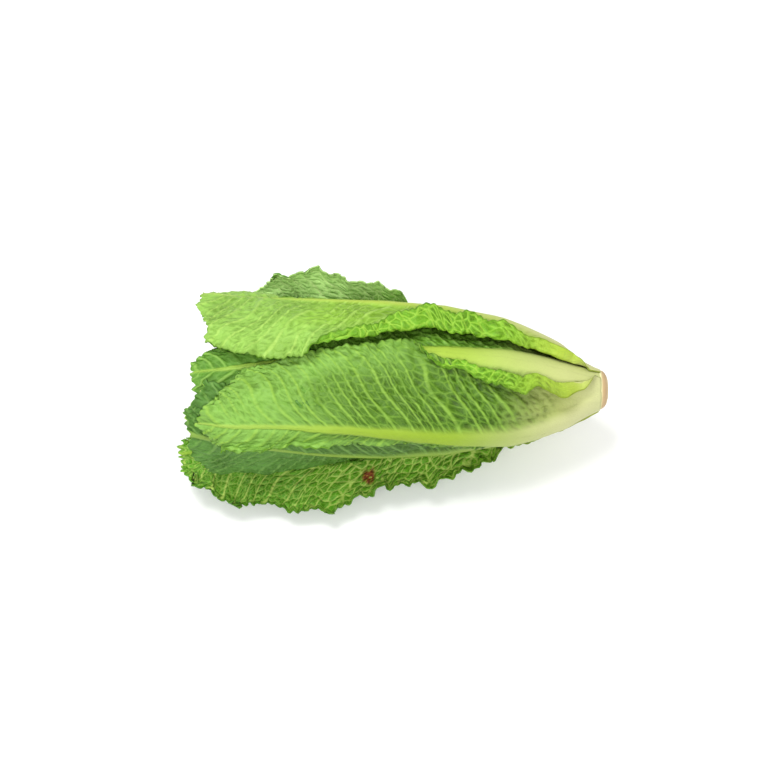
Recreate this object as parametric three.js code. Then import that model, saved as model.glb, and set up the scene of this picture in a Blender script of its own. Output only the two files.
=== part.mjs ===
// Romaine lettuce head lying on its side: a short cut stem and 22 nested leaves.
// Millimetres, +Z up. The cut stem points to +X, the leaf tips to -X, and the lowest leaf rests on z = 0.
import * as THREE from 'three';

// ---------------------------------------------------------------- driving dimensions
const HEAD_LENGTH = 290; // cut face to the longest leaf tip
const HEAD_FLATTENING = 0.8; // height of the lying head over its width
const MEAN_FLATTENING = (1 + HEAD_FLATTENING) / 2;
const LEAF_GAP = 1.1; // air between two leaves that lie on each other
const BLADE_THICKNESS = 1;
const STEM_GAP = 0.6;

// Half width of the whole head at distances from the cut face.
const HEAD_PROFILE = [
  [0, 14],
  [10, 18],
  [30, 27],
  [70, 42],
  [110, 52],
  [150, 56],
  [200, 58],
  [250, 58],
  [300, 56],
];

// Stem radius at distances from the cut face.
const STEM_PROFILE = [
  [0, 12.6],
  [1.2, 13.8],
  [3.5, 13.4],
  [7, 9.6],
  [30, 9],
  [55, 7.5],
  [80, 5],
  [94, 2.2],
];
const STEM_SIDES = 24;
const BRIDGING_PASSES = 2;
const FOOTPRINT_STEPS = 6; // marks along each side of a mesh cell when a leaf is packed
const PACKING_ROW = 4; // mm along the head between two places where the packing is known
const PACKING_COLUMN = 5; // degrees round it
const ROW_CROWDING = 1.4; // above 1 the rows of a leaf stand closer together near its base

// Where the midrib columns of a leaf lie, as shares of its half width.
const OUTER_COLUMNS = [-1, -0.8, -0.58, -0.36, -0.17, -0.07, 0.07, 0.17, 0.36, 0.58, 0.8, 1];
const INNER_COLUMNS = [-1, -0.72, -0.44, -0.22, -0.08, 0.08, 0.22, 0.44, 0.72, 1];

// Every list below pairs a distance from the cut face (mm) with an angle about the head's axis (degrees),
// 0 straight up and 90 to +Y, or with a length (mm).
// rib: the midrib's angle. margins: the angles of the two margins. lift: how far each margin stands off.
// start and reach: where the leaf leaves the stem and where its tip ends (mm from the cut face).
// fill: share of the head's half width that the leaf keeps to. flare: how far the tip stands off (mm).
const OUTER_LEAVES = [
  {
    // Lies on the surface, its front margin spread out under the head.
    rib: [[0, -165], [150, -163], [290, -146]],
    margins: [[[0, -226], [100, -222], [290, -200]], [[0, -112], [60, -122], [250, -120], [290, -122]]],
    lift: [[[0, 0]], [[47, 0], [98, 9], [138, 15], [160, 22], [213, 28], [264, 19], [290, 2]]],
    start: 4,
    reach: 290,
    fill: 0.86,
    flare: 2,
  },
  {
    // Behind the head, its upper margin risen above the top leaf.
    rib: [[0, 108], [262, 114]],
    margins: [[[0, 80], [100, 82], [132, 74], [262, 66]], [[0, 165], [100, 172], [262, 168]]],
    lift: [[[120, 0], [150, 10], [198, 18], [243, 8], [262, 2]], [[100, 0], [200, 5]]],
    start: 5,
    reach: 262,
    fill: 1.06,
    flare: 0,
  },
  {
    // Under the back of the head.
    rib: [[0, 174], [272, 170]],
    margins: [[[0, 112], [272, 118]], [[0, 232], [272, 224]]],
    lift: [[[0, 0]], [[0, 0]]],
    start: 4,
    reach: 272,
    fill: 0.86,
    flare: 0,
  },
  {
    // The top leaf, its midrib along the upper outline.
    rib: [[0, 60], [150, 57], [276, 57]],
    margins: [
      [[0, 30], [37, 22], [84, 14], [125, 11], [162, 3], [216, -10], [247, -6], [276, 8]],
      [[0, 108], [60, 112], [150, 118], [276, 104]],
    ],
    lift: [[[100, 0], [180, 3]], [[0, 0]]],
    start: 8,
    reach: 276,
    fill: 1.12,
    flare: 2,
  },
  {
    // The big front leaf.
    rib: [[0, -100], [43, -94], [84, -77], [111, -71], [138, -65], [172, -60], [264, -55]],
    margins: [
      [[0, -140], [40, -118], [84, -100], [150, -86], [222, -86], [264, -70]],
      [[0, -20], [43, 1], [70, -1], [111, 9], [140, 12], [169, 7], [220, -7], [264, -24]],
    ],
    lift: [[[0, 0]], [[0, 0]]],
    start: 5,
    reach: 264,
    fill: 0.9,
    flare: 0,
  },
  {
    // Between the leaf on the surface and the front leaf.
    rib: [[0, -112], [150, -106], [282, -80]],
    margins: [[[0, -168], [150, -158], [282, -112]], [[0, -55], [150, -48], [282, -44]]],
    lift: [[[0, 0]], [[0, 0]]],
    start: 11,
    reach: 282,
    fill: 0.8,
    flare: 3,
  },
  {
    // Its midrib shows in the gap between the top leaf and the front leaf.
    rib: [[0, 6], [150, 8], [220, -4], [279, -15]],
    margins: [[[0, -52], [150, -55], [279, -48]], [[0, 66], [150, 70], [279, 24]]],
    lift: [[[0, 0]], [[0, 0]]],
    start: 13,
    reach: 279,
    fill: 0.86,
    flare: 0,
  },
];
const MIDDLE_COUNT = 8;
const HEART_COUNT = 7;
const SPIRAL_STEP = 137.5; // degrees from one leaf to the next one inside it
const MIDDLE_RANGE = { start: [16, 42], reach: [272, 236], half: [50, 36], fill: [0.7, 0.4] };
const HEART_RANGE = { start: [46, 80], reach: [228, 150], half: [30, 14], fill: [0.34, 0.08] };

const RIB_HEIGHT = { outer: [4.2, 4.2], middle: [3.4, 2.6], heart: [2.4, 1.6] }; // outermost to innermost leaf
const RIB_HALF_WIDTH = [13, 3]; // at the base and near the tip
const MESH_ROWS = { outer: 16, middle: 13, heart: 9 };
const RIB_TIP_SHARE = 0.12; // rib height left at the tip
const BASE_HALF_WIDTH = 15;
const BASE_THICKNESS_SHARE = 0.35; // a leaf thins out where it joins the stem
const LIFT_FROM = 0.35; // share of the half width from which a margin stands off
const LEAST_RADIUS = 10; // keeps the innermost leaves from wrapping right round
const MAX_HALF_SPAN = 72; // degrees that a leaf can wrap to each side of its midrib
const TIP_WIDTH_SHARE = 0.66; // width of the blunt tip over the greatest width
const TIP_ROUNDING = 0.17; // how far the sides of the tip lie back, as a share of the leaf length

const LEAF_GREEN = { outer: 0x6fae33, middle: 0x93c64c, heart: 0xcfdc86 };
const STEM_TAN = 0xdfc9a0;

// ---------------------------------------------------------------- small helpers
const RADIANS = Math.PI / 180;
const mix = (a, b, t) => a + (b - a) * t;
const clamp = (value, low, high) => Math.min(Math.max(value, low), high);

function smooth(from, to, value) {
  const t = clamp((value - from) / (to - from), 0, 1);
  return t * t * (3 - 2 * t);
}

function along(profile, distance) {
  const last = profile.length - 1;
  if (distance <= profile[0][0]) return profile[0][1];
  for (let i = 0; i < last; i += 1) {
    const [d0, r0] = profile[i];
    const [d1, r1] = profile[i + 1];
    if (distance <= d1) return mix(r0, r1, (distance - d0) / (d1 - d0));
  }
  return profile[last][1];
}

// Half width of the lying head in the direction of an angle: an ellipse that is wider than high.
function headRadius(distance, degrees) {
  const across = Math.sin(degrees * RADIANS);
  const up = Math.cos(degrees * RADIANS) / mix(1, HEAD_FLATTENING, smooth(0, 90, distance));
  return along(HEAD_PROFILE, distance) / Math.hypot(across, up);
}

function point(distance, degrees, radius) {
  const angle = degrees * RADIANS;
  return [HEAD_LENGTH / 2 - distance, radius * Math.sin(angle), radius * Math.cos(angle)];
}

// ---------------------------------------------------------------- what is already packed
// A map round the head of how far out it is already filled, as a share of the head's half width.
class Packing {
  constructor() {
    this.rowStep = PACKING_ROW;
    this.columnStep = PACKING_COLUMN;
    this.rows = Math.ceil(HEAD_LENGTH / this.rowStep) + 2;
    this.columns = 360 / this.columnStep;
    this.shares = new Float64Array(this.rows * this.columns);
  }

  index(row, column) {
    const wrapped = ((column % this.columns) + this.columns) % this.columns;
    return clamp(row, 0, this.rows - 1) * this.columns + wrapped;
  }

  cover(distance, degrees, radius) {
    const share = radius / headRadius(distance, degrees);
    const row = distance / this.rowStep;
    const column = degrees / this.columnStep;
    for (const r of [Math.floor(row), Math.ceil(row)]) {
      for (const c of [Math.floor(column), Math.ceil(column)]) {
        const at = this.index(r, c);
        this.shares[at] = Math.max(this.shares[at], share);
      }
    }
  }

  // The greatest filled share within a reach along the head and round it.
  filled(distance, degrees, reachAlong, reachRound) {
    const firstRow = Math.floor((distance - reachAlong) / this.rowStep);
    const lastRow = Math.ceil((distance + reachAlong) / this.rowStep);
    const firstColumn = Math.floor((degrees - reachRound) / this.columnStep);
    const lastColumn = Math.ceil((degrees + reachRound) / this.columnStep);
    let share = 0;
    for (let row = firstRow; row <= lastRow; row += 1) {
      for (let column = firstColumn; column <= lastColumn; column += 1) {
        share = Math.max(share, this.shares[this.index(row, column)]);
      }
    }
    return share * headRadius(distance, degrees);
  }
}

// ---------------------------------------------------------------- meshes
function closedMesh(name, positions, triangles, color) {
  const geometry = new THREE.BufferGeometry();
  geometry.setAttribute('position', new THREE.Float32BufferAttribute(positions.flat(), 3));
  geometry.setIndex(triangles.flat());
  geometry.computeVertexNormals();
  const mesh = new THREE.Mesh(geometry, new THREE.MeshStandardMaterial({ color, roughness: 0.55 }));
  mesh.name = name;
  return mesh;
}

// Two grids of points, the inside and the outside of a leaf, closed along their four borders.
function leafSolid(name, inside, outside, color) {
  const rows = inside.length;
  const columns = inside[0].length;
  const offset = rows * columns;
  const at = (row, column, side) => side * offset + row * columns + column;
  const triangles = [];
  const quad = (a, b, c, d) => triangles.push([a, b, c], [a, c, d]);
  for (let r = 0; r + 1 < rows; r += 1) {
    for (let c = 0; c + 1 < columns; c += 1) {
      quad(at(r, c, 1), at(r, c + 1, 1), at(r + 1, c + 1, 1), at(r + 1, c, 1));
      quad(at(r, c, 0), at(r + 1, c, 0), at(r + 1, c + 1, 0), at(r, c + 1, 0));
    }
  }
  for (let r = 0; r + 1 < rows; r += 1) {
    quad(at(r, 0, 0), at(r, 0, 1), at(r + 1, 0, 1), at(r + 1, 0, 0));
    quad(at(r, columns - 1, 0), at(r + 1, columns - 1, 0), at(r + 1, columns - 1, 1), at(r, columns - 1, 1));
  }
  for (let c = 0; c + 1 < columns; c += 1) {
    quad(at(0, c, 0), at(0, c + 1, 0), at(0, c + 1, 1), at(0, c, 1));
    quad(at(rows - 1, c, 0), at(rows - 1, c, 1), at(rows - 1, c + 1, 1), at(rows - 1, c + 1, 0));
  }
  return closedMesh(name, [...inside.flat(), ...outside.flat()], triangles, color);
}

function buildStem(packing) {
  const positions = [point(0, 0, 0)];
  const triangles = [];
  const sideStep = 360 / STEM_SIDES;
  for (const [distance, radius] of STEM_PROFILE) {
    for (let side = 0; side < STEM_SIDES; side += 1) {
      positions.push(point(distance, side * sideStep, radius));
    }
  }
  const ring = (row, side) => 1 + row * STEM_SIDES + (side % STEM_SIDES);
  const lastRow = STEM_PROFILE.length - 1;
  const tip = positions.length;
  positions.push(point(STEM_PROFILE[lastRow][0], 0, 0));
  for (let side = 0; side < STEM_SIDES; side += 1) {
    triangles.push([0, ring(0, side + 1), ring(0, side)], [tip, ring(lastRow, side), ring(lastRow, side + 1)]);
    for (let row = 0; row < lastRow; row += 1) {
      triangles.push([ring(row, side), ring(row, side + 1), ring(row + 1, side + 1)]);
      triangles.push([ring(row, side), ring(row + 1, side + 1), ring(row + 1, side)]);
    }
  }
  const stemEnd = STEM_PROFILE[lastRow][0];
  for (let distance = 0; distance <= stemEnd; distance += packing.rowStep) {
    for (let degrees = 0; degrees < 360; degrees += packing.columnStep) {
      packing.cover(distance, degrees, along(STEM_PROFILE, distance) + STEM_GAP);
    }
  }
  return closedMesh('stem', positions, triangles, STEM_TAN);
}

// ---------------------------------------------------------------- leaves
// Half width of an inner leaf at a share u of its length: a narrow clasping base and a broad upper blade.
function halfWidth(leaf, u) {
  const broad = mix(BASE_HALF_WIDTH, leaf.half, smooth(0.08, 0.7, u));
  return broad * mix(1, TIP_WIDTH_SHARE, smooth(0.76, 1, u));
}

// Thickness of a leaf: a thin blade with a midrib that sinks and narrows from base to tip.
function thickness(leaf, u, arc) {
  const height = leaf.ribHeight * mix(1, RIB_TIP_SHARE, smooth(0, 0.95, u));
  const ribHalfWidth = mix(...RIB_HALF_WIDTH, smooth(0, 0.8, u));
  const bump = 1 - smooth(0.3, 1, Math.abs(arc) / ribHalfWidth);
  const startShare = mix(BASE_THICKNESS_SHARE, 1, smooth(0, 0.06, u));
  return (BLADE_THICKNESS + height * bump) * startShare;
}

// Angle from the midrib to the margin at one side.
function spanOf(leaf, u, distance, side) {
  if (leaf.margins) return Math.abs(along(leaf.margins[side], distance) - along(leaf.rib, distance));
  const radius = Math.max(along(HEAD_PROFILE, distance) * leaf.fill * MEAN_FLATTENING, LEAST_RADIUS);
  return Math.min(halfWidth(leaf, u) / radius / RADIANS, MAX_HALF_SPAN);
}

// One point of the blade: distance along the head, angle, and the radii of its two faces.
function leafPoint(leaf, u, v, packing, cell) {
  const length = leaf.reach - leaf.start;
  const distance = leaf.start + length * (u - TIP_ROUNDING * v * v * u * u);
  const side = v < 0 ? 0 : 1;
  const span = spanOf(leaf, u, distance, side);
  const degrees = along(leaf.rib, distance) + v * span;
  const reachRound = cell.column * span;
  const lying = packing.filled(distance, degrees, cell.row * length, reachRound) + LEAF_GAP;
  const own = headRadius(distance, degrees) * leaf.fill;
  const marginLift = along(leaf.lift[side], distance) * smooth(LIFT_FROM, 1, Math.abs(v));
  const inner = Math.max(lying, own) + marginLift + leaf.flare * smooth(0.7, 1, u);
  return { distance, degrees, inner, thick: thickness(leaf, u, v * span * RADIANS * inner) };
}

// A blade is stiff: it bridges the dips between the bumps that it lies on.
function bridgeDips(grid) {
  const radii = grid.map((line) => line.map((p) => p.inner));
  grid.forEach((line, r) => {
    line.forEach((p, c) => {
      const before = grid[Math.max(r - 1, 0)][c];
      const after = grid[Math.min(r + 1, grid.length - 1)][c];
      const t = (p.distance - before.distance) / (after.distance - before.distance);
      const alongLeaf = mix(radii[Math.max(r - 1, 0)][c], radii[Math.min(r + 1, grid.length - 1)][c], t);
      const acrossLeaf = (radii[r][Math.max(c - 1, 0)] + radii[r][Math.min(c + 1, line.length - 1)]) / 2;
      p.inner = Math.max(radii[r][c], (radii[r][c] + alongLeaf) / 2, (radii[r][c] + acrossLeaf) / 2);
    });
  });
}

// Marks the whole footprint of a leaf's outside in the packing.
function coverWith(packing, grid) {
  const steps = FOOTPRINT_STEPS;
  for (let r = 0; r + 1 < grid.length; r += 1) {
    for (let c = 0; c + 1 < grid[r].length; c += 1) {
      for (let i = 0; i <= steps; i += 1) {
        for (let j = 0; j <= steps; j += 1) {
          const blend = (key) => {
            const near = mix(grid[r][c][key], grid[r][c + 1][key], j / steps);
            const far = mix(grid[r + 1][c][key], grid[r + 1][c + 1][key], j / steps);
            return mix(near, far, i / steps);
          };
          packing.cover(blend('distance'), blend('degrees'), blend('outer'));
        }
      }
    }
  }
}

function buildLeaf(leaf, packing) {
  const share = (row) => (row / leaf.rows) ** ROW_CROWDING;
  const widest = Math.max(...leaf.columns.slice(1).map((v, i) => v - leaf.columns[i]));
  const grid = [];
  for (let row = 0; row <= leaf.rows; row += 1) {
    const cell = { row: share(Math.max(row, 1)) - share(Math.max(row, 1) - 1), column: widest };
    grid.push(leaf.columns.map((v) => leafPoint(leaf, share(row), v, packing, cell)));
  }
  for (let pass = 0; pass < BRIDGING_PASSES; pass += 1) bridgeDips(grid);
  for (const p of grid.flat()) p.outer = p.inner + p.thick;
  coverWith(packing, grid);
  const inside = grid.map((line) => line.map((p) => point(p.distance, p.degrees, p.inner)));
  const outside = grid.map((line) => line.map((p) => point(p.distance, p.degrees, p.outer)));
  return leafSolid(leaf.name, inside, outside, leaf.color);
}

// Leaves of one ring, from the outermost to the innermost, spaced by the growth spiral.
function spiralLeaves(kind, count, range, leavesOutside) {
  return Array.from({ length: count }, (_, i) => {
    const t = i / (count - 1);
    return {
      name: `${kind}_leaf_${i + 1}`,
      rib: [[0, SPIRAL_STEP * (leavesOutside + i + 1)]],
      start: mix(...range.start, t),
      reach: mix(...range.reach, t),
      half: mix(...range.half, t),
      fill: mix(...range.fill, t),
      lift: [[[0, 0]], [[0, 0]]],
      flare: 0,
      ribHeight: mix(...RIB_HEIGHT[kind], t),
      rows: MESH_ROWS[kind],
      columns: INNER_COLUMNS,
      color: LEAF_GREEN[kind],
    };
  });
}

function allLeaves() {
  const outer = OUTER_LEAVES.map((leaf, i) => ({
    ...leaf,
    name: `outer_leaf_${i + 1}`,
    ribHeight: RIB_HEIGHT.outer[0],
    rows: MESH_ROWS.outer,
    columns: OUTER_COLUMNS,
    color: LEAF_GREEN.outer,
  }));
  const middle = spiralLeaves('middle', MIDDLE_COUNT, MIDDLE_RANGE, 0);
  const heart = spiralLeaves('heart', HEART_COUNT, HEART_RANGE, MIDDLE_COUNT);
  return [...outer, ...middle, ...heart];
}

// ---------------------------------------------------------------- the head
const group = new THREE.Group();
group.name = 'romaine_lettuce';
const packing = new Packing();
group.add(buildStem(packing));
for (const leaf of allLeaves().reverse()) group.add(buildLeaf(leaf, packing));

// Set the head down: its lowest leaf touches z = 0 and its box is centred on the origin.
const box = new THREE.Box3().setFromObject(group);
const centre = box.getCenter(new THREE.Vector3());
for (const mesh of group.children) mesh.geometry.translate(-centre.x, -centre.y, -box.min.z);

export default group;
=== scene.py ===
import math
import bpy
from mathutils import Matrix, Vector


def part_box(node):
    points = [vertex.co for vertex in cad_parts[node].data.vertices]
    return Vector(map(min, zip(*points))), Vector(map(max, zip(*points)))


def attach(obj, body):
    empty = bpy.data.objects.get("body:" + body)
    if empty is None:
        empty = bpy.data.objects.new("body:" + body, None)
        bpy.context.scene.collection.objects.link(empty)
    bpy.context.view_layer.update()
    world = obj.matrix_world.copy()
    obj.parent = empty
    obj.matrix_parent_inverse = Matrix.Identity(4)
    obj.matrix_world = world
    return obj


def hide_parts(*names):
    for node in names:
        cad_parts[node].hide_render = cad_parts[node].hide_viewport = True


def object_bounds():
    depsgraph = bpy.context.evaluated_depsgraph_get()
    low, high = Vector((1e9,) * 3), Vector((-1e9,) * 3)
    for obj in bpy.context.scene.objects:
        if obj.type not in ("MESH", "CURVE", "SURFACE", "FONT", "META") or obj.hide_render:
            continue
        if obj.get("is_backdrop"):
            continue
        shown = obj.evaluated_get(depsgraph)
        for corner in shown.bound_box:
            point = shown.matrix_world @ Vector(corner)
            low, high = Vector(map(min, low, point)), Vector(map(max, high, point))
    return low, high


bl_info = {
    "name": "Romaine Lettuce Head",
    "version": (1, 0, 0),
    "blender": (4, 5, 0),
    "location": "3D View > Sidebar > Lettuce",
    "description": "Builds a romaine lettuce head from nested, veined and ruffled leaves on a short cut stem",
    "category": "Add Mesh",
}

from dataclasses import dataclass, field, replace

import bpy
import numpy as np

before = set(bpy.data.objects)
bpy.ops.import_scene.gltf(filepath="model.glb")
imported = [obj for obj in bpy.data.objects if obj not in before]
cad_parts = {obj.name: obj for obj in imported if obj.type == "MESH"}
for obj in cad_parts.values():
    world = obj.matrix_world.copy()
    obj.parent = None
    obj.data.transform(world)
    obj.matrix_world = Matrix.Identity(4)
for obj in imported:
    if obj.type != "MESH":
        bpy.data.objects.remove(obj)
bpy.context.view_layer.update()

# ------------------------------------------------------------------ the head's shape
# Lengths are in millimetres up to the moment that a mesh is written. A place on the head is given by its
# distance from the cut face, its angle round the head's axis (degrees, 0 up, 90 to +Y) and its radius.
MM = 0.001
FLATTENING = 0.8  # height of the lying head over its width
# Distance from the cut face and half width of the head.
HEAD_PROFILE = [
    (0, 14), (10, 18), (30, 29), (70, 42), (110, 52), (150, 56), (200, 58), (250, 58), (300, 56),
]
# Distance and radius, from the middle of the cut face over its rim and up into the head.
STEM_PROFILE = [
    (0.9, 0), (0.3, 6), (1, 9.4), (2.4, 11.8), (4, 13), (6.2, 13.4),
    (7.4, 12), (12, 9.2), (30, 9), (55, 7.5), (80, 5), (94, 2), (96, 0),
]
STEM_UNEVENNESS = 0.35  # height of the waves on the stem's side
CUT_UNEVENNESS = 0.25  # and on its cut face
SPIRAL_STEP = 137.5  # angle between one leaf and the next on the stem
RIM_RADIUS = 10.8  # to which the inner faces of the leaf bases close in
COLLAR = 78  # over this distance every leaf base narrows onto the rim of the cut face
COLLAR_LEAST = 0.1  # share of its own distance from the rim that a leaf keeps at the cut face
LEAF_GAP = 0.7  # between a leaf and what it lies on
STANDING_SHARE = 0.6  # share of a leaf's ruffles and blisters that holds the next leaf off
SETTLING = 1.5  # the leaves lie closer than the CAD's, so the head comes to rest lower

# ------------------------------------------------------------------ the leaf's own shape
BLADE = 0.9  # thickness of the blade away from the midrib
RIB_HALF_WIDTHS = (9, 1.6)  # of a midrib, at its base and towards its tip
RIB_TIP_SHARE = 0.12  # height of a midrib at the tip over its height at the base
VEIN_SPACING = 9.5  # between two side veins, along the midrib
VEIN_LEAN = 0.52  # how far a side vein runs along the leaf, over how far it runs across
VEIN_BEND = 0.0022  # how much more it leans, the farther it is from the midrib
VEIN_FOOT = (6, 8)  # how far it runs along the midrib before it turns off, and over what width
VEIN_HEIGHT = 1.3
VEIN_HALF_WIDTH = 1.3
BLISTER_SIZE = (6.5, 6)  # along the leaf and across it
BLISTER_DEPTH = 0.9
CRINKLE_SIZE = (3.9, 3.4)
CRINKLE_DEPTH = 0.2
SWELL_HEIGHT = 2  # broad, low swells all over the blade
RUFFLE_LENGTHS = (5.2, 2.1)  # of the long and the short waves along the margins, over 2 pi
TOOTH_SPACING = 4.6
TIP_TOOTH_SPACING = 4.4
TIP_NOTCH = 0.012  # depth of the waves in the tip's outline, over the leaf's length
MARGIN_WAVER = 0.05  # how far the margins wander, over the blade's width
BASE_HALF_WIDTH = 15  # of a middle or heart leaf, where it leaves the stem
WIDEST_SPAN = 72  # angle from the midrib to a margin of a middle or heart leaf
FOLD_SHARE = 0.3  # share of a rolled margin that is bent; the rest lies flat
UV_SCALE = 0.01  # units of the blade's UV map to a millimetre
STRAIGHT = [(0, 0)]


@dataclass
class Leaf:
    """One leaf. Every list pairs a distance from the cut face with an angle, a length or a share."""

    name: str
    rib: list  # angle of the midrib
    start: float  # where the leaf leaves the stem
    reach: float  # where its tip ends
    fill: list  # share of the head's half width that the blade keeps to
    margins: list = None  # angles of the two margins; without them the half width sets the margins
    half: float = 50  # greatest half width of the blade
    lift: list = field(default_factory=lambda: [STRAIGHT, STRAIGHT])  # how far the margins stand off
    curl: list = field(default_factory=lambda: [STRAIGHT, STRAIGHT])  # how far the margins roll back, degrees
    curl_width: list = field(default_factory=lambda: [[(0, 6)], [(0, 6)]])  # width of the rolled part
    rounding: tuple = (0.17, 0.17)  # how far each side of the tip lies back, as a share of the length
    flare: float = 0  # how far the tip stands off
    rib_height: float = 4.5
    ruffle: float = 2.5  # height of the waves along the margins
    tooth: float = 2.0  # depth of the teeth along the margins
    blister: float = 1.0
    stain: tuple = (0, 0, 0)  # place (distance and angle) and radius of a bruise on the blade
    look: str = "outer"
    seed: int = 1


OUTER_START = 6  # where every outer leaf leaves the stem
# From the outermost to the innermost: the low front leaf that the head lies on, the back one whose margin
# stands up, the one under the back, the top one, the big front one, the one under it and the one in the gap.
OUTER_LEAVES = [
    Leaf(
        "outer_leaf_1", [(0, -165), (150, -163), (240, -155), (293, -142)], OUTER_START, 293, [(0, 0.9)],
        margins=[
            [(0, -226), (100, -222), (293, -200)],
            [(0, -132), (40, -130), (58, -122), (250, -120), (293, -118)],
        ],
        lift=[
            STRAIGHT,
            [(47, 0), (80, 3), (96, 11), (112, 16), (138, 16), (150, 13), (157, 24), (180, 26), (213, 23),
             (236, 15), (264, 12), (290, 6)],
        ],
        stain=(161, -136, 5.5),
        rounding=(0.17, 0.04), flare=3, ruffle=5.5, tooth=4.2, blister=1.2, seed=11,
    ),
    Leaf(
        "outer_leaf_2", [(0, 112), (262, 114)], OUTER_START, 262, [(0, 0.9), (60, 1.0), (262, 1.06)],
        margins=[
            [(0, 84), (100, 86), (135, 82), (141, 67), (262, 66)],
            [(0, 165), (100, 172), (262, 168)],
        ],
        lift=[[(134, 0), (140, 6), (160, 8), (183, 14), (198, 16), (230, 7), (262, 4)], [(100, 0), (200, 5)]],
        ruffle=3.6, tooth=2.6, blister=0.35, look="back", seed=12,
    ),
    Leaf(
        "outer_leaf_3", [(0, 174), (272, 170)], OUTER_START, 272, [(0, 0.89)],
        margins=[[(0, 112), (272, 118)], [(0, 232), (272, 224)]],
        ruffle=2, seed=13,
    ),
    Leaf(
        "outer_leaf_4", [(0, 60), (150, 58), (276, 58)], OUTER_START, 276,
        [(0, 1.1), (16, 1.2), (34, 1.3), (50, 1.18), (70, 1.1), (110, 1.08), (276, 1.12)],
        margins=[
            [(0, 36), (24, 12), (37, 9), (70, 8), (98, 5), (125, 9), (142, 9), (162, 6), (198, -2), (216, -6),
             (247, -4), (276, 8)],
            [(0, 108), (60, 112), (150, 118), (276, 104)],
        ],
        curl=[[(14, 0), (26, 150), (160, 150), (190, 120), (206, 0)], STRAIGHT],
        curl_width=[
            [(24, 5), (37, 9), (70, 13), (98, 17), (125, 16), (142, 13), (162, 10), (198, 4)],
            [(0, 6)],
        ],
        rounding=(0.03, 0.1), flare=2, rib_height=5, ruffle=2.4, tooth=1.5, look="top", seed=15,
    ),
    Leaf(
        "outer_leaf_5",
        [(0, -86), (20, -94), (43, -94), (84, -77), (111, -71), (138, -65), (172, -60), (275, -55)],
        OUTER_START, 275, [(0, 0.8), (43, 0.84), (84, 0.9), (275, 0.92)],
        margins=[
            [(0, -130), (40, -118), (84, -94), (111, -81), (150, -74), (200, -75), (222, -80), (250, -78),
             (275, -68)],
            [(0, 0), (16, 14), (32, 24), (60, 15), (84, 10), (98, 10), (111, 15), (128, 17), (140, 16),
             (172, 11), (199, 6), (216, -3), (240, -14), (275, -36)],
        ],
        curl=[
            [(185, 0), (205, 110), (262, 110), (275, 60)],
            [(8, 0), (20, 170), (116, 170), (132, 60), (142, 0)],
        ],
        curl_width=[[(0, 7)], [(8, 1), (16, 6), (32, 17), (60, 18), (84, 12), (111, 10), (128, 6)]],
        rounding=(0.08, 0.1), rib_height=6, ruffle=2.6, tooth=1.5, blister=1.2, look="front", seed=14,
    ),
    Leaf(
        "outer_leaf_6", [(0, -112), (150, -106), (240, -80), (283, -66)], OUTER_START, 283, [(0, 0.8)],
        margins=[[(0, -168), (150, -150), (200, -130), (283, -116)], [(0, -55), (150, -48), (283, -20)]],
        lift=[[(120, 0), (180, 8), (230, 11), (283, 9)], STRAIGHT],
        rounding=(0.07, 0.05), flare=3, ruffle=1.5, tooth=1.8, blister=1.3, look="shaded_under", seed=16,
    ),
    Leaf(
        "outer_leaf_7", [(0, 6), (150, 8), (220, -4), (279, -15)], OUTER_START, 279, [(0, 0.8), (60, 0.86)],
        margins=[[(0, -52), (150, -55), (240, -52), (279, -58)], [(0, 66), (150, 70), (279, 24)]],
        rounding=(0.09, 0.14), rib_height=6.5, ruffle=1.7, tooth=2.4, blister=1.3, seed=17,
    ),
]


# Each pair is for the outermost and for the innermost leaf of the ring.
MIDDLE_LEAVES = dict(
    kind="middle", count=8, first=0, start=(16, 42), reach=(272, 236), half=(50, 36), fill=(0.7, 0.4),
    rib_height=(3.4, 2.6),
)
HEART_LEAVES = dict(
    kind="heart", count=7, first=8, start=(46, 80), reach=(228, 150), half=(30, 14), fill=(0.34, 0.08),
    rib_height=(2.4, 1.6),
)
RING_RUFFLE = (1.6, 0.8)
RING_TOOTH = (2.0, 1.0)
RING_FIRST_SEED = 20


def spiral_leaves(kind, count, first, start, reach, half, fill, rib_height):
    """Leaves of one ring from the outermost to the innermost, spaced by the growth spiral."""
    leaves = []
    for i in range(count):
        t = i / (count - 1)
        leaves.append(
            Leaf(
                f"{kind}_leaf_{i + 1}",
                [(0, SPIRAL_STEP * (first + i + 1))],
                mix(*start, t),
                mix(*reach, t),
                [(0, mix(*fill, t))],
                half=mix(*half, t),
                rib_height=mix(*rib_height, t),
                ruffle=mix(*RING_RUFFLE, t),
                tooth=mix(*RING_TOOTH, t),
                look=kind,
                seed=RING_FIRST_SEED + first + i,
            )
        )
    return leaves


# ------------------------------------------------------------------ numbers
def mix(a, b, t):
    """The value that lies the share t of the way from a to b."""
    return a + (b - a) * t


def smooth(low, high, value):
    """A soft step from 0 at the low value to 1 at the high one."""
    t = np.clip((value - low) / (high - low), 0, 1)
    return t * t * (3 - 2 * t)


def along(profile, distance):
    """The second numbers of a profile, read off at the distances."""
    places, values = zip(*profile)
    return np.interp(distance, places, values)


def wave(x, y, seed):
    """A smooth wandering value between -1 and 1."""
    a = np.sin(x + 1.7 * seed + 1.3 * np.sin(0.7 * y + seed))
    b = np.sin(2.3 * x - 1.1 * y + 4.1 * seed)
    c = np.sin(1.9 * y + 0.6 * x + 2.9 * seed)
    return (a + 0.7 * b + 0.8 * c) / 2.5


def hashed(ix, iy, seed):
    """An even spread of numbers from 0 to 1, one for each whole-numbered place."""
    n = (ix * 73856093) ^ (iy * 19349663) ^ (seed * 83492791)
    n = (n ^ (n >> 13)) * 1274126177 & 0x7FFFFFFF
    return (n ^ (n >> 16)) % 100003 / 100003


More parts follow.
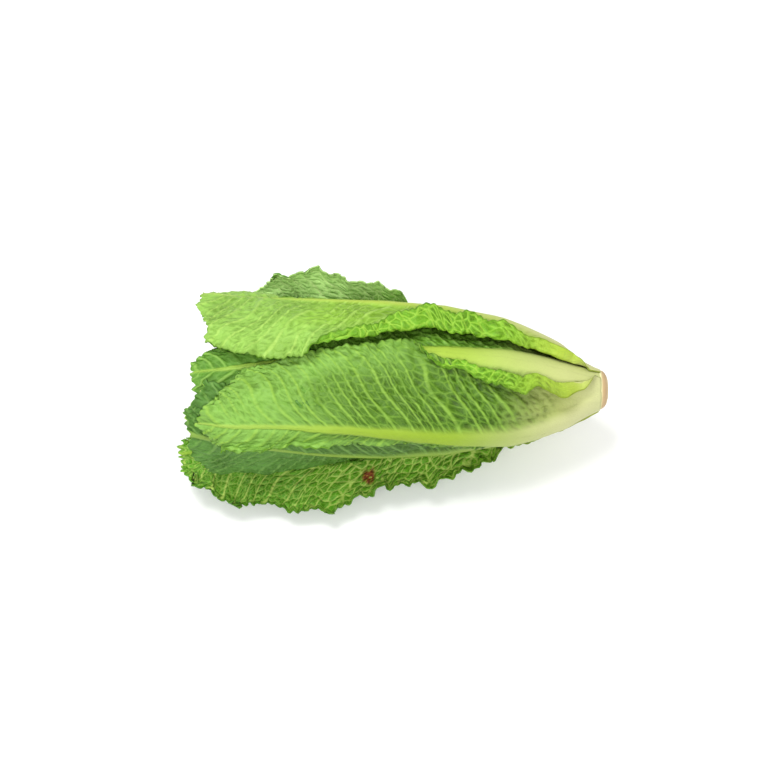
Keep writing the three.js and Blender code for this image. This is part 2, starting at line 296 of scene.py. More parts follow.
def cells(x, y, seed):
    """Distance to the border between the two nearest scattered points, and the nearest one's own number."""
    column = np.floor(x).astype(np.int64)
    row = np.floor(y).astype(np.int64)
    nearest = np.full(x.shape, 9.0)
    second = np.full(x.shape, 9.0)
    own = np.zeros(x.shape)
    for i in (-1, 0, 1):
        for j in (-1, 0, 1):
            cx, cy = column + i, row + j
            px = cx + 0.1 + 0.8 * hashed(cx, cy, seed)
            py = cy + 0.1 + 0.8 * hashed(cx, cy, seed + 7)
            d = np.hypot(x - px, y - py)
            closer = d < nearest
            second = np.where(closer, nearest, np.minimum(second, d))
            own = np.where(closer, hashed(cx, cy, seed + 19), own)
            nearest = np.minimum(nearest, d)
    return second - nearest, own


# ------------------------------------------------------------------ the head as a space
def head_radius(distance, degrees):
    """Half width of the lying head in the direction of an angle."""
    angle = np.radians(degrees)
    squeeze = mix(1, FLATTENING, smooth(0, 90, distance))
    return along(HEAD_PROFILE, distance) / np.hypot(np.sin(angle), np.cos(angle) / squeeze)


def head_origin():
    """The middle of the cut face in the frame, from the CAD stem's box."""
    low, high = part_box("stem")
    return np.array([high.x, (low.y + high.y) / 2, (low.z + high.z) / 2 - SETTLING * MM])


def to_frame(distance, degrees, radius):
    """Places in the frame, still in millimetres, of points given round the head's axis."""
    angle = np.radians(degrees)
    return np.stack([-distance, radius * np.sin(angle), radius * np.cos(angle)], axis=-1)


class Packing:
    """How far out the head is already filled, as a share of its half width, in every direction."""

    ROW = 2.0  # millimetres along the head
    COLUMN = 2.0  # degrees round it
    LENGTH = 310
    WIDENING_PASSES = 2
    BRIDGING_PASSES = 14
    SMOOTHING_PASSES = 3

    def __init__(self):
        self.rows = int(self.LENGTH / self.ROW)
        self.columns = int(360 / self.COLUMN)
        self.shares = np.zeros((self.rows, self.columns))

    def cover(self, distance, degrees, radius):
        """Marks the head as filled up to each point."""
        share = radius / head_radius(distance, degrees)
        row = np.clip(distance / self.ROW, 0, self.rows - 2)
        column = degrees / self.COLUMN
        for i in (0, 1):
            for j in (0, 1):
                r = np.floor(row).astype(int) + i
                c = (np.floor(column).astype(int) + j) % self.columns
                np.maximum.at(self.shares, (r, c), share)

    def neighbours(self, shares):
        """The map shifted by one place in each of the four directions."""
        padded = np.pad(shares, ((1, 1), (0, 0)), mode="edge")
        sides = (np.roll(shares, 1, 1), np.roll(shares, -1, 1))
        return padded[:-2], padded[2:], *sides

    def membrane(self, fill):
        """A stiff sheet laid over what is packed: it keeps its own share and bridges the dips."""
        radius = head_radius(np.arange(self.rows)[:, None] * self.ROW, np.arange(self.columns) * self.COLUMN)
        sheet = np.where(self.shares > 0, self.shares + LEAF_GAP / radius, 0)
        for _ in range(self.WIDENING_PASSES):
            sheet = np.maximum.reduce([sheet, *self.neighbours(sheet)])
        sheet = np.maximum(sheet, along(fill, np.arange(self.rows) * self.ROW)[:, None])
        for _ in range(self.BRIDGING_PASSES):
            sheet = np.maximum(sheet, sum(self.neighbours(sheet)) / 4)
        for _ in range(self.SMOOTHING_PASSES):
            sheet = (sheet * 2 + sum(self.neighbours(sheet))) / 6
        return sheet

    def read(self, sheet, distance, degrees):
        """Radius of a sheet at any places on the head."""
        row = np.clip(distance / self.ROW, 0, self.rows - 1.001)
        column = degrees / self.COLUMN
        r, c = np.floor(row).astype(int), np.floor(column).astype(int)
        tr, tc = row - r, column - c
        c0, c1 = c % self.columns, (c + 1) % self.columns
        near = mix(sheet[r, c0], sheet[r, c1], tc)
        far = mix(sheet[r + 1, c0], sheet[r + 1, c1], tc)
        return mix(near, far, tr) * head_radius(distance, degrees)


packing = Packing()


# ------------------------------------------------------------------ one leaf's surface
def margin_spans(leaf, u, distance):
    """Angles from the midrib to the lower and to the upper margin."""
    rib = along(leaf.rib, distance)
    if leaf.margins:
        return [np.abs(along(m, distance) - rib) for m in leaf.margins]
    half = mix(BASE_HALF_WIDTH, leaf.half, smooth(0.08, 0.7, u)) * mix(1, 0.66, smooth(0.76, 1, u))
    radius = np.maximum(along(HEAD_PROFILE, distance) * leaf.fill[0][1] * (1 + FLATTENING) / 2, 10)
    span = np.minimum(np.degrees(half / radius), WIDEST_SPAN)
    return [span, span]


def collar(distance):
    """How much of its own distance from the rim a leaf base keeps."""
    share = np.clip(distance / COLLAR, 0, 1)
    return mix(COLLAR_LEAST, 1, 1 - (1 - share) ** 1.6)


def surface(leaf, u, v):
    """Inner face of the plain blade over the grid of u from base to tip and v from margin to margin."""
    length = leaf.reach - leaf.start
    notch = 1 - TIP_NOTCH * (1 + wave(9 * v, 0 * v, leaf.seed)) * smooth(0.8, 1, u)
    back = np.where(v < 0, leaf.rounding[0], leaf.rounding[1])
    distance = leaf.start + length * (u * notch - back * v * v * u**3)
    low, high = margin_spans(leaf, u, distance)
    waver = 1 + MARGIN_WAVER * wave(5 * u, 0 * u, leaf.seed + 3) * smooth(0.1, 0.5, u)
    degrees = along(leaf.rib, distance) + v * np.where(v < 0, low, high) * waver
    sheet = packing.membrane(leaf.fill)
    radius = packing.read(sheet, distance, degrees)
    radius = RIM_RADIUS + (radius - RIM_RADIUS) * collar(distance)
    lift = np.where(v < 0, along(leaf.lift[0], distance), along(leaf.lift[1], distance))
    radius = radius + lift * smooth(0.35, 1, np.abs(v)) + leaf.flare * smooth(0.7, 1, u)
    return distance, degrees, radius


def normals(points):
    """Outward normal of a grid at each point, and the way across the leaf there."""
    down = np.gradient(points, axis=0)
    across = np.gradient(points, axis=1)
    normal = np.cross(across, down)
    length = np.linalg.norm(normal, axis=-1, keepdims=True)
    return normal / np.maximum(length, 1e-9), across


def arc_from_rib(points, v):
    """Signed length across the blade from the midrib."""
    steps = np.linalg.norm(np.diff(points, axis=1), axis=-1)
    arc = np.concatenate([np.zeros((len(points), 1)), np.cumsum(steps, axis=1)], axis=1)
    middle = np.argmin(np.abs(v[0]))
    return arc - arc[:, middle : middle + 1]


def vein_rise(reach):
    """How much farther along the leaf a side vein has come at a distance from the midrib."""
    run, width = VEIN_FOOT
    return run * (1 - np.exp(-reach / width)) + VEIN_LEAN * reach + VEIN_BEND * reach**2


def relief(leaf, u, v, a, b):
    """Height of veins and blisters, the slanted coordinate that veins follow, and the midrib's half width."""
    reach = np.abs(b)
    rib_half = mix(*RIB_HALF_WIDTHS, smooth(0, 0.85, u))
    off_rib = smooth(0.7, 2.2, reach / rib_half)
    rising = a - vein_rise(reach)
    slant = rising + 4.5 * wave(a / 21, b / 12, leaf.seed) + 2 * np.sin(rising / 6.5 + leaf.seed + np.sign(b))
    phase = slant / VEIN_SPACING + np.where(b > 0, 0.5, 0)
    off_vein = np.abs(phase - np.floor(phase) - 0.5) * VEIN_SPACING
    vein = np.exp(-((off_vein / VEIN_HALF_WIDTH) ** 2)) * off_rib * mix(1, 0.4, smooth(0.2, 1, np.abs(v)))
    border, own = cells(slant / BLISTER_SIZE[0], b / BLISTER_SIZE[1], leaf.seed)
    blister = smooth(0, 0.55, border) * (0.45 + 0.8 * own)
    crinkle, own_small = cells(slant / CRINKLE_SIZE[0] + 5, b / CRINKLE_SIZE[1], leaf.seed + 5)
    fine = smooth(0, 0.6, crinkle) * (0.4 + own_small)
    young = smooth(0.02, 0.25, u)
    strength = leaf.blister * off_rib * young * smooth(3, 16, reach)
    height = VEIN_HEIGHT * vein * young - strength * (BLISTER_DEPTH * blister + CRINKLE_DEPTH * fine)
    height = height + SWELL_HEIGHT * wave(a / 20, b / 15, leaf.seed + 2) * off_rib
    return height, slant, rib_half


def ruffled(leaf, u, v, a, b):
    """Waves along the margins: how far the blade stands off its plain surface."""
    edge = smooth(0.45, 1, np.abs(v)) ** 1.5 * smooth(0.04, 0.22, u)
    tip = smooth(0.8, 1, u)
    side = np.sign(v)
    long_wave = wave(a / RUFFLE_LENGTHS[0], side * 3, leaf.seed + 4)
    short_wave = wave(a / RUFFLE_LENGTHS[1], side * 5 + 2 * np.abs(v), leaf.seed + 6)
    tip_wave = wave(b / 7, a / 12, leaf.seed + 8)
    height = leaf.ruffle * (0.75 * long_wave + 0.45 * short_wave + 0.35) * edge
    return height + leaf.ruffle * 0.8 * (tip_wave + 0.3) * tip * (1 - edge)


def saw_tooth(x):
    """Straight-sided teeth from 0 to 1, one to each whole number."""
    return 1 - np.abs(2 * (x - np.floor(x)) - 1)


def toothed(leaf, u, v, a):
    """Teeth along the margins: how far the blade's edge reaches out in its own surface."""
    side = np.sign(v)
    tooth = saw_tooth(a / TOOTH_SPACING + 0.6 * wave(a / 9, side, leaf.seed + 9))
    lobes = 0.7 * wave(a / 8.5, side * 2, leaf.seed + 10)
    return leaf.tooth * (tooth - 0.5 + lobes) * smooth(0.8, 1, np.abs(v)) * smooth(0.08, 0.3, u)


def tip_teeth(leaf, u, b):
    """Teeth along the tip: how far the blade's edge reaches out along the head."""
    tooth = saw_tooth(b / TIP_TOOTH_SPACING + 0.5 * wave(b / 8, 0 * b, leaf.seed + 12))
    return leaf.tooth * (tooth - 0.5) * smooth(0.94, 1, u)


def curl_share(leaf, distance, b):
    """How far into a rolled margin each point lies, from 0 at the roll's start to 1 at the edge."""
    waver = 1 + 0.25 * wave(distance / 9, 0 * distance, leaf.seed + 7)
    shares = np.zeros(b.shape)
    for side, edge in ((0, b[:, :1]), (1, b[:, -1:])):
        width = along(leaf.curl_width[side], distance) * waver
        rolled = along(leaf.curl[side], distance) > 0
        share = np.clip((np.abs(b) - np.abs(edge) + width) / width, 0, 1)
        shares = np.where((b * edge > 0) & rolled, share, shares)
    return shares


def curled(leaf, points, normal, across, distance, b):
    """Folds each margin outwards over the last few millimetres of the blade."""
    result = points.copy()
    columns = points.shape[1]
    middle = columns // 2
    bend = np.minimum(curl_share(leaf, distance, b) / FOLD_SHARE, 1)
    lower = (0, -1, range(middle - 1, -1, -1))
    upper = (1, 1, range(middle + 1, columns))
    for side, toward, order in (lower, upper):
        turn = np.radians(along(leaf.curl[side], distance[:, middle]))
        for c in order:
            angle = (turn * bend[:, c])[:, None]
            step = points[:, c] - points[:, c - toward]
            size = np.linalg.norm(step, axis=-1, keepdims=True)
            turned = across[:, c] * toward * np.cos(angle) + normal[:, c] * np.sin(angle)
            result[:, c] = result[:, c - toward] + np.where(angle > 0, turned * size, step)
    return result


def stained(leaf, distance, degrees, radius):
    """Mask of the ragged bruise on a blade."""
    place, turn, size = leaf.stain
    if not size:
        return np.zeros(distance.shape)
    off = np.hypot(distance - place, np.radians(degrees - turn) * radius)
    ragged = size * (1 + 0.4 * wave(distance / 2, degrees / 3, leaf.seed))
    return 1 - smooth(0.5, 1, off / ragged)


def leaf_thickness(leaf, blade, u, b, rib_half):
    """Thickness of the blade and, over it, of the rounded midrib."""
    ridge = leaf.rib_height * mix(1, RIB_TIP_SHARE, smooth(0, 0.95, u))
    width = rib_half * 1.35
    profile = np.sqrt(np.clip(1 - (b / width) ** 2, 0, 1))
    return blade + ridge * profile


# ------------------------------------------------------------------ meshes
def grid_object(name, rows, columns):
    """A flat grid primitive, with u from 0 to 1 along its rows and v from -1 to 1 across them."""
    bpy.ops.object.select_all(action="DESELECT")
    bpy.ops.mesh.primitive_grid_add(x_subdivisions=columns, y_subdivisions=rows, size=1, calc_uvs=True)
    piece = bpy.context.object
    piece.name = piece.data.name = name
    flat = np.empty(len(piece.data.vertices) * 3)
    piece.data.vertices.foreach_get("co", flat)
    flat = flat.reshape(rows + 1, columns + 1, 3)
    return piece, flat[..., 1] + 0.5, flat[..., 0] * 2


def set_places(piece, points):
    """Moves the vertices to points given in millimetres from the middle of the cut face."""
    places = (head_origin() + points.reshape(-1, 3) * MM).astype(np.float32)
    piece.data.vertices.foreach_set("co", places.ravel())
    piece.data.update()


def set_uv(piece, x, y):
    loops = np.empty(len(piece.data.loops), dtype=np.int32)
    piece.data.loops.foreach_get("vertex_index", loops)
    uv = np.stack([x.ravel()[loops], y.ravel()[loops]], axis=-1) * UV_SCALE
    layer = piece.data.uv_layers[0]
    layer.name = "blade"
    layer.uv.foreach_set("vector", uv.astype(np.float32).ravel())


def set_mask(piece, name, values):
    mask = piece.data.attributes.new(name, "FLOAT", "POINT")
    mask.data.foreach_set("value", values.astype(np.float32).ravel())


def solidify(piece, thickness):
    """Gives the sheet its thickness, outwards, from its vertex group."""
    least, most = float(thickness.min()), float(thickness.max())
    group = piece.vertex_groups.new(name="thickness")
    shares = (thickness.ravel() - least) / (most - least)
    steps = np.round(shares * 100).astype(int)
    for step in np.unique(steps):
        group.add([int(i) for i in np.flatnonzero(steps == step)], step / 100, "REPLACE")
    shell = piece.modifiers.new("Thickness", "SOLIDIFY")
    shell.thickness = most * MM
    shell.offset = 1
    shell.vertex_group = "thickness"
    shell.thickness_vertex_group = least / most
    shell.material_offset = 1
    shell.material_offset_rim = 1
    bpy.context.view_layer.objects.active = piece
    bpy.ops.object.modifier_apply(modifier=shell.name)


def finish_piece(piece, node):
    bpy.ops.object.select_all(action="DESELECT")
    piece.select_set(True)
    bpy.context.view_layer.objects.active = piece
    bpy.ops.object.shade_smooth()
    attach(piece, "root")
    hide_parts(node)


def pack_leaf(distance, degrees, radius, thickness, height, lying):
    """Marks the head as filled up to the leaf's outer face, as it is before its base narrows."""
    unsqueezed = RIM_RADIUS + (radius - RIM_RADIUS) / collar(distance)
    top = unsqueezed + thickness + STANDING_SHARE * np.maximum(height, 0)
    packing.cover(distance[lying], degrees[lying], top[lying])


def build_leaf(leaf, settings, rows, columns):
    """A leaf laid over all that is packed so far, from its plain blade to its veins, teeth and folds."""
    leaf = replace(leaf, ruffle=leaf.ruffle * settings.ruffle, tooth=leaf.tooth * settings.tooth)
    piece, u, v = grid_object(leaf.name + "_blade", rows, columns)
    distance, degrees, radius = surface(leaf, u, v)
    points = to_frame(distance, degrees, radius)
    b = arc_from_rib(points, v)
    a = distance - leaf.start
    normal, across = normals(points)
    out = across / np.maximum(np.linalg.norm(across, axis=-1, keepdims=True), 1e-9)
    height, slant, rib_half = relief(leaf, u, v, a, b)
    thickness = leaf_thickness(leaf, settings.blade_thickness / MM, u, b, rib_half)
    height = height + ruffled(leaf, u, v, a, b)
    lying = curl_share(leaf, distance, b) == 0
    pack_leaf(distance, degrees, radius, thickness, height, lying)
    points = points + out * (toothed(leaf, u, v, a) * np.sign(v))[..., None]
    points[..., 0] -= tip_teeth(leaf, u, b)
    points = curled(leaf, points, normal, out, distance, b)
    normal, _ = normals(points)
    set_places(piece, points + normal * height[..., None])
    set_uv(piece, slant, b)
    set_mask(piece, "rib", 1 - smooth(0.6, 1.5, np.abs(b) / rib_half))
    set_mask(piece, "along", u)
    set_mask(piece, "margin", np.abs(v))
    set_mask(piece, "stain", stained(leaf, distance, degrees, radius))
    for side in ("outside", "inside"):
        piece.data.materials.append(leaf_material(leaf.look, side, settings))
    solidify(piece, thickness * collar(distance))
    finish_piece(piece, leaf.name)


def stem_outline(polar):
    """Distance and radius on the stem's profile, for shares of the way from one pole to the other."""
    profile = np.array(STEM_PROFILE, dtype=float)
    steps = np.hypot(*np.diff(profile, axis=0).T)
    marks = np.concatenate([[0], np.cumsum(np.sqrt(steps))])
    shares = marks / marks[-1]
    return np.interp(polar, shares, profile[:, 0]), np.interp(polar, shares, profile[:, 1])


def build_stem(settings):
    """A ball drawn out to the stem's profile, with a slightly uneven side and cut face."""
    bpy.ops.object.select_all(action="DESELECT")
    bpy.ops.mesh.primitive_uv_sphere_add(segments=96, ring_count=72, radius=1)
    piece = bpy.context.object
    piece.name = piece.data.name = "cut_stem"
    flat = np.empty(len(piece.data.vertices) * 3)
    piece.data.vertices.foreach_get("co", flat)
    flat = flat.reshape(-1, 3)
    turn = np.degrees(np.arctan2(flat[:, 1], flat[:, 0]))
    distance, radius = stem_outline(np.arccos(np.clip(flat[:, 2], -1, 1)) / math.pi)
    uneven = STEM_UNEVENNESS * wave(np.radians(turn) * 3, distance / 9, 3) * smooth(7, 12, radius)
    on_face = smooth(2, 0, distance) * smooth(0, 2, radius)
    dent = CUT_UNEVENNESS * wave(radius / 2.2, np.radians(turn) * 2, 5) * on_face
    set_places(piece, to_frame(distance + dent, turn, radius + uneven))
    set_mask(piece, "radius", radius)
    set_mask(piece, "depth", distance)
    piece.data.materials.append(stem_material(settings))
    finish_piece(piece, "stem")
    packing.cover(distance, turn, radius + uneven)
    pack_stem()


def pack_stem():
    """Marks the head as filled by the stem's plain profile, all the way round."""
    ring = np.arange(0, 94, packing.ROW)
    radius = along(STEM_PROFILE[2:], ring)
    for degrees in np.arange(0, 360, packing.COLUMN):
        packing.cover(ring, np.full(len(ring), degrees), radius)


# ------------------------------------------------------------------ materials
def linear(code):
    """An sRGB colour code such as "#A1B2C3" as linear red, green, blue and alpha."""
    parts = [int(code[i : i + 2], 16) / 255 for i in (1, 3, 5)]
    return (*[p / 12.92 if p <= 0.04045 else ((p + 0.055) / 1.055) ** 2.4 for p in parts], 1.0)


class Value:
    """A number that flows between shader nodes, with Python's own arithmetic."""

    def __init__(self, graph, socket):
        self.graph, self.socket = graph, socket

    def maths(self, operation, *others):
        return self.graph.maths(operation, self, *others)

    def __add__(self, other):
        return self.maths("ADD", other)

    def __radd__(self, other):
        return self.graph.maths("ADD", other, self)

    def __sub__(self, other):
        return self.maths("SUBTRACT", other)

    def __rsub__(self, other):
        return self.graph.maths("SUBTRACT", other, self)

    def __mul__(self, other):
        return self.maths("MULTIPLY", other)

    def __rmul__(self, other):
        return self.graph.maths("MULTIPLY", other, self)

    def smooth(self, low, high):
        """A soft step from 0 at the low value to 1 at the high one."""
        step = self.graph.node("ShaderNodeMapRange", {"Value": self, "From Min": low, "From Max": high},
                               interpolation_type="SMOOTHSTEP", clamp=True)
        return Value(self.graph, step.outputs["Result"])


class Graph:
    """The node tree of one material that ends in a Principled shader."""

    def __init__(self, name):
        self.material = bpy.data.materials.new(name)
        self.material.use_nodes = True
        self.tree = self.material.node_tree
        self.shader = self.tree.nodes["Principled BSDF"]

    def link(self, socket, value):
        """Joins a value or another node's socket to the socket, or sets its constant."""
        if isinstance(value, Value):
            self.tree.links.new(value.socket, socket)
        elif isinstance(value, bpy.types.NodeSocket):
            self.tree.links.new(value, socket)
        else:
            socket.default_value = value

    def node(self, kind, inputs, **settings):
        """Any node, with its settings made first and then the values or links of its sockets."""
        made = self.tree.nodes.new(kind)
        for key, setting in settings.items():
            setattr(made, key, setting)
        for key, value in inputs.items():
            self.link(made.inputs[key], value)
        return made

    def maths(self, operation, *values):
        made = self.node("ShaderNodeMath", dict(enumerate(values)), operation=operation)
        return Value(self, made.outputs[0])

    def mask(self, name):
        """One of the piece's own masks."""
        return Value(self, self.node("ShaderNodeAttribute", {}, attribute_name=name).outputs["Fac"])

    def noise(self, place, scale, detail):
        made = self.node("ShaderNodeTexNoise", {"Vector": place, "Scale": scale, "Detail": detail})
        return Value(self, made.outputs["Fac"])

    def border(self, place, scale):
        """Distance to the nearest border in a net of cells."""
        made = self.node("ShaderNodeTexVoronoi", {"Vector": place, "Scale": scale, "Randomness": 0.9},
                         feature="DISTANCE_TO_EDGE", voronoi_dimensions="2D")
        return Value(self, made.outputs["Distance"])

    def blend(self, share, first, second):
        """A colour between two others."""
        made = self.node("ShaderNodeMix", {0: share, 6: first, 7: second},
                         data_type="RGBA", clamp_factor=True)
        return made.outputs[2]

    def bump(self, height, distance):
        """Small relief, in metres, on the finished surface."""
        made = self.node("ShaderNodeBump", {"Height": height, "Distance": distance, "Strength": 1.0})
        self.link(self.shader.inputs["Normal"], made.outputs["Normal"])

    def set(self, **inputs):
        """Values or constants of the shader's sockets, with _ for the spaces in their names."""
        for key, value in inputs.items():
            self.link(self.shader.inputs[key.replace("_", " ")], value)


# For the inside and the outside of a leaf: blade colours at the base, the middle and the tip, the colour
# of the veins, and midrib colours at the base, the middle and the tip.
SIDES = ("inside", "outside")
LOOKS = {
    "outer": (
        (["#AFC043", "#62A218", "#5A9A1C"], "#BCD068", ["#C9CE84", "#A2BE32", "#90B63A"]),
        (["#ACB262", "#598A1E", "#5C8E2E"], "#86B04A", ["#B9BF7C", "#9CB83E", "#8AAE42"]),
    ),
    # Painted light: the back leaf's inside has paler, brighter greens, veins and midrib tip than the outer
    # look, to stand in for light on a face that the lamps hardly reach.
    "back": (
        (["#AFC043", "#86C434", "#C4EE90"], "#DCF2A4", ["#C9CE84", "#A2BE32", "#C0E080"]),
        (["#ACB262", "#598A1E", "#5C8E2E"], "#86B04A", ["#B9BB82", "#8CA62E", "#82A63C"]),
    ),
    # Painted shade: the outside of the leaf under the big front one has darker greens than the outer look,
    # for the shade that it lies in.
    "shaded_under": (
        (["#AFC043", "#6FAE1B", "#6CA424"], "#C4D672", ["#C9CE84", "#A2BE32", "#90B63A"]),
        (["#9CA456", "#3F6418", "#4E7C2C"], "#6C9442", ["#B9BB82", "#7C9A34", "#7A9A3C"]),
    ),
    # Painted shade: the big front leaf's outside is darker green in its middle than the outer look, for the
    # shade on its face that turns down to the front.
    "front": (
        (["#A6BA3E", "#6CA61C", "#6CA424"], "#98C03E", ["#C9CE84", "#A2BE32", "#90B63A"]),
        (["#ACB268", "#486F12", "#7AA846"], "#86AE3C", ["#BABC86", "#86A226", "#92B248"]),
    ),
    # Painted light: the top leaf's outside has paler greens than the outer look, for the light that falls on
    # it from above.
    "top": (
        (["#A6BA3E", "#6CA61C", "#6CA424"], "#94BE3C", ["#C9CE84", "#A2BE32", "#90B63A"]),
        (["#B0B85A", "#82AE34", "#88B44C"], "#A2C65C", ["#BEC080", "#A8BE4A", "#A0C055"]),
    ),
    "middle": (
        (["#BCC868", "#78AA28", "#5C9622"], "#B2CF68", ["#CFD090", "#ACC44A", "#98BE48"]),
        (["#BCC868", "#7EAC36", "#66982C"], "#AECC68", ["#CFD090", "#ACC44A", "#98BE48"]),
    ),
    "heart": (
        (["#D0D38A", "#B4C85C", "#98BB42"], "#CFD98E", ["#DAD8A2", "#CED48C", "#BCCC70"]),
        (["#D0D38A", "#BACB68", "#A0C052"], "#D2DA96", ["#DAD8A2", "#CED48C", "#BCCC70"]),
    ),
}
VEIN_STRENGTH = {"inside": (0.65, 0.6, 0.25), "outside": (0.6, 0.25, 0.12)}  # side veins, net and fine web
BLISTER_BUMP = {"inside": 0.0006, "outside": -0.0003}  # the blisters stand up on the inside of a leaf
NET_SCALE = 19.0  # cells of the net of veins to a unit of the UV map
WEB_SCALE = 52.0  # and of the finer net
MOTTLE_SCALE = 4.5
PATCH_SCALE = 13.0
SPECK_SCALE = 45.0
RIM_SHADE = 0.8  # how dark the very edge of a leaf is
BRUISE_MIDDLE = "#5E2E14"
CUT_GRAIN_SCALE = 350.0  # to a metre, as the next one
CUT_PATCH_SCALE = 90.0
CUT_OUTER = "#CDB98A"
CUT_GRAIN = "#B79A6C"
STEM_SIDE = ("#DDDDA6", "#CFCB90")


class Face:
    """What the patterns on one side of a leaf are made from."""

    def __init__(self, graph):
        self.graph = graph
        self.uv = graph.node("ShaderNodeUVMap", {}, uv_map="blade").outputs["UV"]
        parts = graph.node("ShaderNodeSeparateXYZ", {0: self.uv})
        self.slant, self.off_rib = Value(graph, parts.outputs[0]), Value(graph, parts.outputs[1])
        self.up, self.margin, self.rib = graph.mask("along"), graph.mask("margin"), graph.mask("rib")
        self.mottle = graph.noise(self.uv, MOTTLE_SCALE, 3.0)
        self.speck = graph.noise(self.uv, SPECK_SCALE, 4.0)
        self.border = graph.border(self.uv, NET_SCALE)
        self.pit = self.border.smooth(0.06, 0.34)
        self.web = 1 - graph.border(self.uv, WEB_SCALE).smooth(0.02, 0.16)

    def side_veins(self):
        phase = self.slant * (1 / UV_SCALE / VEIN_SPACING) + self.off_rib.maths("GREATER_THAN", 0.0) * 0.5
        off_vein = (phase.maths("FRACT") - 0.5).maths("ABSOLUTE") * VEIN_SPACING + (self.speck - 0.5) * 0.5
        return (1 - off_vein.smooth(0.25, 0.95)) * self.mottle.smooth(0.25, 0.55)

    def net(self):
        """The net between the side veins, clearest over the lower half of the leaf."""
        lines = 1 - (self.border + (self.speck - 0.5) * 0.04).smooth(0.03, 0.13)
        return lines * self.up.smooth(0.1, 0.35) * (1 - self.up.smooth(0.6, 0.78) * 0.6)

    def blade(self, colours):
        """The plain blade, paler towards its tip and its margins."""
        base, middle, tip = (linear(colour) for colour in colours)
        colour = self.graph.blend((self.up + (self.mottle - 0.5) * 0.12).smooth(0.04, 0.3), base, middle)
        outward = self.up.smooth(0.35, 0.6) * self.margin.smooth(0.4, 0.9) * 0.7
        upper = (self.up + (self.mottle - 0.5) * 0.4).smooth(0.56, 0.86)
        return self.graph.blend(upper + outward, colour, tip)

    def shade(self):
        """Where the blade is darker: in random patches and specks of its own tone, and with painted shade in
        its pits and in the dimples near the base.
        """
        patchy = self.graph.noise(self.uv, PATCH_SCALE, 2.0)
        painted_pit_shade = self.pit * patchy.smooth(0.42, 0.62) * 0.5
        patches = self.mottle.smooth(0.42, 0.66) * 0.4 + painted_pit_shade + self.speck.smooth(0.5, 0.8) * 0.2
        low = self.up.smooth(0.08, 0.18) * (1 - self.up.smooth(0.34, 0.5))
        return patches * self.up.smooth(0.06, 0.25) + self.border.smooth(0.2, 0.36) * low * 0.55

    def midrib(self, colours):
        base, middle, tip = (linear(colour) for colour in colours)
        lower = self.graph.blend(self.up.smooth(0.05, 0.4), base, middle)
        return self.graph.blend(self.up.smooth(0.5, 1.0), lower, tip)

    def pale_base(self):
        """Where the whole leaf has the colour of its midrib's base."""
        ruffled_margin = self.margin.smooth(0.6, 0.95) * self.up.smooth(0.03, 0.08)
        return (1 - self.up.smooth(0.0, 0.12)) * (1 - ruffled_margin)


def leaf_material(look, side, settings):
    """The face of a leaf with its midrib, side veins, net of veins and fine web."""
    name = f"{look}_{side}"
    if name in bpy.data.materials:
        return bpy.data.materials[name]
    blade, veins, rib = LOOKS[look][SIDES.index(side)]
    veins = linear(veins)
    side_share, net_share, web_share = VEIN_STRENGTH[side]
    graph = Graph(name)
    face = Face(graph)
    colour = face.blade(blade)
    darker = graph.node("ShaderNodeHueSaturation", {"Color": colour, "Value": 0.5, "Saturation": 1.08})
    darker = darker.outputs["Color"]
    # Painted shade in the blade's pits and in the dimples near its base, with darker random patches of its
    # own tone.
    colour = graph.blend(face.shade(), colour, darker)
    colour = graph.blend(face.web * web_share, colour, veins)
    colour = graph.blend(face.net() * net_share, colour, veins)
    colour = graph.blend(face.side_veins() * side_share * face.up.smooth(0.1, 0.3), colour, veins)
    colour = graph.blend(face.rib * 0.95, colour, face.midrib(rib))
    colour = graph.blend(face.pale_base() * 0.9, colour, linear(rib[0]))
    bruise = graph.blend(face.speck.smooth(0.4, 0.6), tuple(settings.bruise_colour), linear(BRUISE_MIDDLE))
    colour = graph.blend(graph.mask("stain") * face.speck.smooth(0.3, 0.5), colour, bruise)
    colour = graph.blend(face.margin.smooth(0.965, 1.0) * RIM_SHADE, colour, darker)
    graph.set(Base_Color=colour, Roughness=0.48 + face.speck * 0.14, Specular_IOR_Level=0.28)
    relief_height = face.pit * (1 - face.rib) * face.up.smooth(0.08, 0.3)
    graph.bump(relief_height + (face.speck - face.web) * 0.3, BLISTER_BUMP[side])
    return graph.material


def stem_material(settings):
    """The grainy cut face with its browned rim, on a pale green side."""
    graph = Graph("stem_cut")
    place = graph.node("ShaderNodeTexCoord", {}).outputs["Object"]
    grain = graph.noise(place, CUT_GRAIN_SCALE, 4.0)
    patch = graph.noise(place, CUT_PATCH_SCALE, 3.0)
    radius, depth = graph.mask("radius"), graph.mask("depth")
    worn = radius.smooth(2.0, 11.0) + (patch - 0.5) * 0.8
    face = graph.blend(worn, tuple(settings.cut_colour), linear(CUT_OUTER))
    face = graph.blend(grain.smooth(0.45, 0.7) * 0.5, face, linear(CUT_GRAIN))
    rim = (radius + (patch - 0.5) * 2).smooth(9.4, 11.2)
    face = graph.blend(rim * 0.75, face, tuple(settings.cut_rim_colour))
    side = graph.blend(patch.smooth(0.3, 0.7), linear(STEM_SIDE[0]), linear(STEM_SIDE[1]))
    colour = graph.blend(depth.smooth(4.2, 6.2), face, side)
    graph.set(Base_Color=colour, Roughness=0.62)
    graph.bump(grain, 0.0005)
    return graph.material


# ------------------------------------------------------------------ settings and operators
def mesh_count(name, description, default):
    """A setting for how many rows or columns a leaf's mesh has."""
    return bpy.props.IntProperty(name=name, description=description, default=default, min=20)


def own_share(name, description):
    """A setting that scales what every leaf has of its own."""
    return bpy.props.FloatProperty(
        name=name, description=description, default=1.0, min=0.0, max=2.0, subtype="FACTOR"
    )


def colour_choice(name, description, default):
    return bpy.props.FloatVectorProperty(
        name=name, description=description, default=linear(default), size=4, min=0.0, max=1.0, subtype="COLOR"
    )


